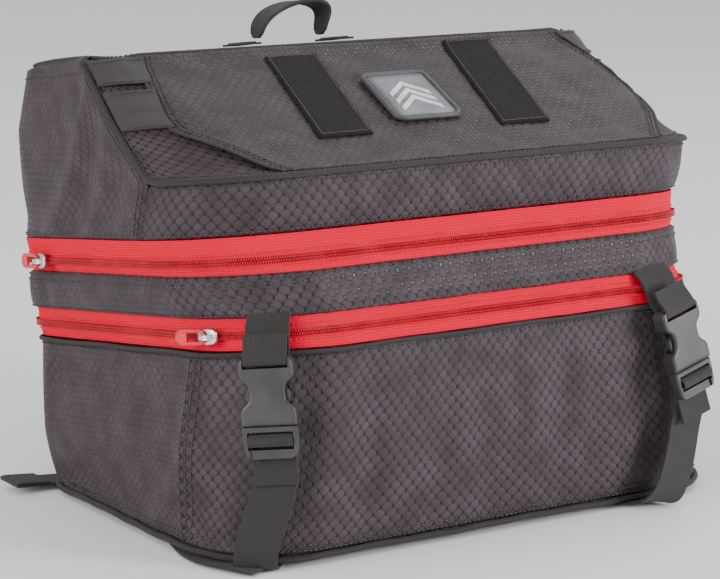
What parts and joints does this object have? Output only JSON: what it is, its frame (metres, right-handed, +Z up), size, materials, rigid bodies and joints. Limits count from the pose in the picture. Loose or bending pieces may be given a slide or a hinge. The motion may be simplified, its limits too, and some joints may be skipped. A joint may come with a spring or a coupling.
{
  "type": "motorcycle luggage bag",
  "caption": "Soft strap-down motorcycle bag with a wedge-shaped body, zipped expansion band, zipped loaf-shaped lid, side-release buckle straps and a grab handle.",
  "frame": {"origin": "middle of the bag's box on the floor it stands on, measured round its straps", "axes": "+X to the right along the long front, +Y to the back where the lid hinges, +Z up"},
  "size_m": [0.418, 0.316, 0.2975],
  "materials": {
    "ripstop": "charcoal brown-grey jacquard ripstop with a small hexagon grid and a slight coated sheen",
    "lining": "plain black woven lining",
    "red_tape": "bright red woven zip tape, matt",
    "red_coil": "dark red nylon coil stitched to the tape",
    "webbing": "black ribbed polypropylene webbing, slightly grey-green",
    "elastic": "smooth dark grey stretch fabric",
    "loop_pile": "black loop pile of hook-and-loop tape, very matt",
    "badge_rubber": "moulded soft rubber badge, grey face with a darker raised border",
    "buckle_plastic": "dark grey acetal with a fine spark texture",
    "slider_metal": "nickel-plated zinc, polished with small scratches",
    "red_pull": "red moulded pull with a soft sheen",
    "board_plastic": "black stiffening sheet"
  },
  "bodies": {
    "bag": {"base_panel": "ripstop", "base_board": "board_plastic", "base_piping": "ripstop", "body_front_panel": "ripstop", "body_left_end": "ripstop", "body_right_end": "ripstop", "body_back_panel": "ripstop", "body_top_piping": "ripstop", "lower_zip_lower_tape": "red_tape", "lower_zip_lower_coil": "red_coil", "left_lower_strap": "webbing", "right_lower_strap": "webbing", "rear_strap": "webbing"},
    "band": {"band_strip": "ripstop", "band_back": "ripstop", "expansion_gusset": "lining", "lower_zip_upper_tape": "red_tape", "lower_zip_upper_coil": "red_coil", "upper_zip_lower_tape": "red_tape", "upper_zip_lower_coil": "red_coil", "left_upper_strap": "webbing", "right_upper_strap": "webbing", "left_buckle_socket": "buckle_plastic", "right_buckle_socket": "buckle_plastic"},
    "lid": {"lid_front_panel": "ripstop", "lid_slope_panel": "ripstop", "lid_left_end": "ripstop", "lid_right_end": "ripstop", "lid_top_panel": "ripstop", "upper_zip_upper_tape": "red_tape", "upper_zip_upper_coil": "red_coil", "pocket_overlay": "ripstop", "loop_patch_left": "loop_pile", "loop_patch_right": "loop_pile", "rubber_badge": "badge_rubber", "wing_upper_left": "elastic", "wing_upper_right": "elastic", "wing_lower_left": "elastic", "wing_lower_right": "elastic", "handle_tab_left": "webbing", "handle_tab_right": "webbing"},
    "handle": {"carry_handle": "webbing"},
    "upper_slider": {"upper_zip_slider": "slider_metal"},
    "upper_pull": {"upper_zip_pull": "red_pull"},
    "lower_slider": {"lower_zip_slider": "slider_metal"},
    "lower_pull": {"lower_zip_pull": "red_pull"},
    "left_plug": {"left_buckle_plug": "buckle_plastic", "left_strap_tail": "webbing"},
    "left_prong_inner": {"left_prong_inner": "buckle_plastic"},
    "left_prong_outer": {"left_prong_outer": "buckle_plastic"},
    "right_plug": {"right_buckle_plug": "buckle_plastic", "right_strap_tail": "webbing"},
    "right_prong_inner": {"right_prong_inner": "buckle_plastic"},
    "right_prong_outer": {"right_prong_outer": "buckle_plastic"}
  },
  "joints": [
    {"name": "expansion", "type": "slide", "parent": "bag", "child": "band", "axis": [0, 0.1305, 0.9914], "range_m": [0, 0.045]},
    {"name": "lid_hinge", "type": "hinge", "parent": "band", "child": "lid", "pos_m": [0, 0.14873, 0.14079], "axis": [-1, 0, 0], "range_deg": [0, 105]},
    {"name": "handle_fold", "type": "hinge", "parent": "lid", "child": "handle", "pos_m": [-0.012, 0.09116, 0.27354], "axis": [1, 0, 0], "range_deg": [-60, 60]},
    {"name": "upper_zip_travel", "type": "slide", "parent": "band", "child": "upper_slider", "axis": [0, -0.9914, 0.1305], "range_m": [0, 0.12]},
    {"name": "upper_pull_swing", "type": "hinge", "parent": "upper_slider", "child": "upper_pull", "pos_m": [-0.19264, 0.08951, 0.14607], "axis": [0, 0.1305, 0.9914], "range_deg": [0, 150]},
    {"name": "lower_zip_travel", "type": "hinge", "parent": "bag", "child": "lower_slider", "pos_m": [-0.106, -0.05953, 0.12484], "axis": [0, 0.1305, 0.9914], "range_deg": [-22, 4.5]},
    {"name": "lower_pull_swing", "type": "hinge", "parent": "lower_slider", "child": "lower_pull", "pos_m": [-0.17776, -0.08828, 0.12862], "axis": [0, 0.1305, 0.9914], "range_deg": [0, 150]},
    {"name": "left_buckle_release", "type": "slide", "parent": "band", "child": "left_plug", "axis": [0, -0.1305, -0.9914], "range_m": [0, 0.032]},
    {"name": "left_prong_inner_squeeze", "type": "hinge", "parent": "left_plug", "child": "left_prong_inner", "pos_m": [-0.16629, -0.12278, 0.08395], "axis": [0.682, 0.7251, -0.0955], "range_deg": [0, 8], "stiffness_Nm_per_rad": 0.05},
    {"name": "left_prong_outer_squeeze", "type": "hinge", "parent": "left_plug", "child": "left_prong_outer", "pos_m": [-0.15371, -0.13441, 0.08548], "axis": [-0.682, -0.7251, 0.0955], "range_deg": [0, 8], "stiffness_Nm_per_rad": 0.05},
    {"name": "right_buckle_release", "type": "slide", "parent": "band", "child": "right_plug", "axis": [0.2406, -0.1016, -0.9653], "range_m": [0, 0.032]},
    {"name": "right_prong_inner_squeeze", "type": "hinge", "parent": "right_plug", "child": "right_prong_inner", "pos_m": [0.11272, -0.15057, 0.08664], "axis": [-0.1045, 0.986, -0.1298], "range_deg": [0, 8], "stiffness_Nm_per_rad": 0.05},
    {"name": "right_prong_outer_squeeze", "type": "hinge", "parent": "right_plug", "child": "right_prong_outer", "pos_m": [0.12931, -0.1483, 0.09053], "axis": [0.1045, -0.986, 0.1298], "range_deg": [0, 8], "stiffness_Nm_per_rad": 0.05}
  ],
  "couplings": [
    {"joint": "left_prong_inner_squeeze", "follows": "left_prong_outer_squeeze", "ratio": 1},
    {"joint": "right_prong_inner_squeeze", "follows": "right_prong_outer_squeeze", "ratio": 1}
  ]
}
